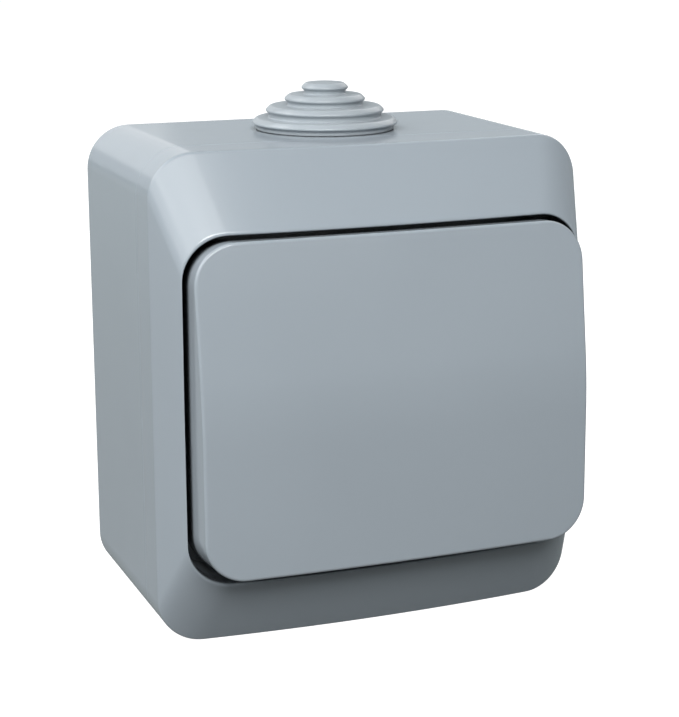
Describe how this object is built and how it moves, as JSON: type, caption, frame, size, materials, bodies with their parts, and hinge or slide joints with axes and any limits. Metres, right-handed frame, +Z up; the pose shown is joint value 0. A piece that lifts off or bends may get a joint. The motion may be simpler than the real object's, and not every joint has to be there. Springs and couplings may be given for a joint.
{
  "type": "outdoor weatherproof switch",
  "caption": "Surface-mounted weatherproof rocker switch: rounded box, bevelled cover, wide rocker key and stepped cable grommet on top.",
  "frame": {"origin": "middle of the wall face of the back box", "axes": "+Z up along the wall, +X to the right seen from the front, -Y out of the wall towards the user"},
  "size_m": [0.069, 0.0498, 0.0822],
  "materials": {
    "housing": "gloss, grey, fine moulded skin",
    "key": "satin gloss, grey",
    "grommet": "soft satin, grey",
    "seal": "matt black",
    "plated_steel": "zinc plated",
    "steel_pin": "ground",
    "spring_steel": "drawn wire",
    "mechanism_moulding": "matt, pale grey",
    "mechanism_plate_moulding": "matt, grey",
    "brass": "stamped",
    "silver": "satin contact silver"
  },
  "bodies": {
    "casing": {"back_box": "housing", "cable_grommet": "grommet", "front_cover": "housing", "cover_gasket": "seal", "cover_screws": "plated_steel", "rocker_boot": "seal", "mechanism_base": "mechanism_moulding", "mechanism_plate": "mechanism_plate_moulding", "plate_rivets": "brass", "mechanism_screws": "plated_steel", "common_contact": "brass", "upper_contact": "brass", "lower_contact": "brass", "fixed_tips": "silver", "terminal_clamps": "brass", "terminal_screws": "plated_steel", "park_terminal": "brass", "park_screws": "plated_steel"},
    "rocker": {"rocker": "key", "plunger_spring": "spring_steel"},
    "plunger": {"plunger": "steel_pin"},
    "contact_lever": {"contact_lever": "brass", "lever_tips": "silver"}
  },
  "joints": [
    {"name": "rocker_hinge", "type": "hinge", "parent": "casing", "child": "rocker", "pos_m": [0, -0.0354, 0], "axis": [1, 0, 0], "range_deg": [0, 8.84]},
    {"name": "plunger_slide", "type": "slide", "parent": "rocker", "child": "plunger", "axis": [0, -0.997, 0.0771], "range_m": [0, 0.0006], "stiffness_N_per_m": 200, "springref_m": -0.002, "deforming": ["plunger_spring"]},
    {"name": "contact_lever_hinge", "type": "hinge", "parent": "casing", "child": "contact_lever", "pos_m": [0, -0.02, 0], "axis": [1, 0, 0], "range_deg": [-17, 0]}
  ],
  "couplings": [
    {"joint": "contact_lever_hinge", "follows": "rocker_hinge", "ratio": -1.923}
  ]
}
